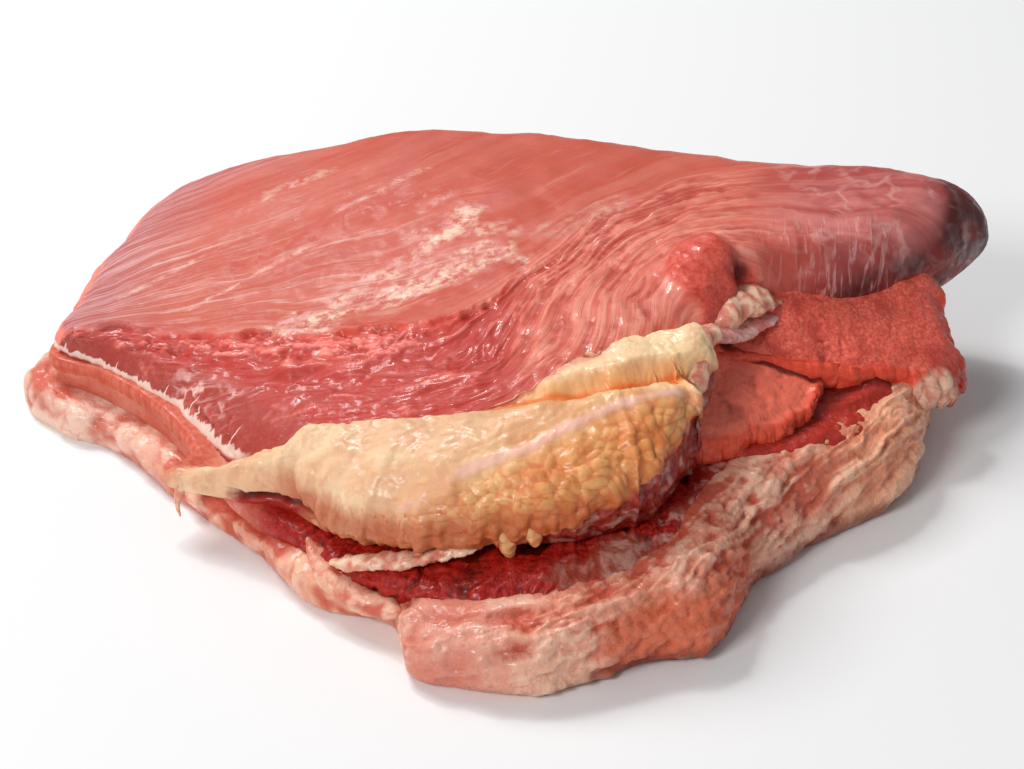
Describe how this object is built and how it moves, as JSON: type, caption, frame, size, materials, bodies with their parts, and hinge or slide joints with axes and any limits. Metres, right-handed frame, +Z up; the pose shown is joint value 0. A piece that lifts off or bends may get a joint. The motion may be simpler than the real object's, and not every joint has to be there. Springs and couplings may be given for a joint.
{
  "type": "raw beef brisket",
  "caption": "Whole raw beef brisket lying fat side down: lean flat on top, yellow fat seam, torn lean flaps and a folded fat cap showing at the cut front",
  "frame": {"origin": "middle of the brisket's bounding box, on the flat face that it lies on", "axes": "+X runs along the length to the thick rounded end, -Y is the cut front where the layers show, +Z is up"},
  "size_m": [0.4576, 0.3442, 0.1005],
  "materials": {
    "flat_lean": null,
    "seam_fat": null,
    "flap_lean": null,
    "point_lean": null,
    "cap_fat": null
  },
  "bodies": {
    "root": {"flat_lean": "flat_lean", "seam_fat": "seam_fat", "upper_flap_lean": "flap_lean", "lower_flap_lean": "flap_lean", "point_lean": "point_lean", "fat_cap": "cap_fat"}
  },
  "joints": []
}
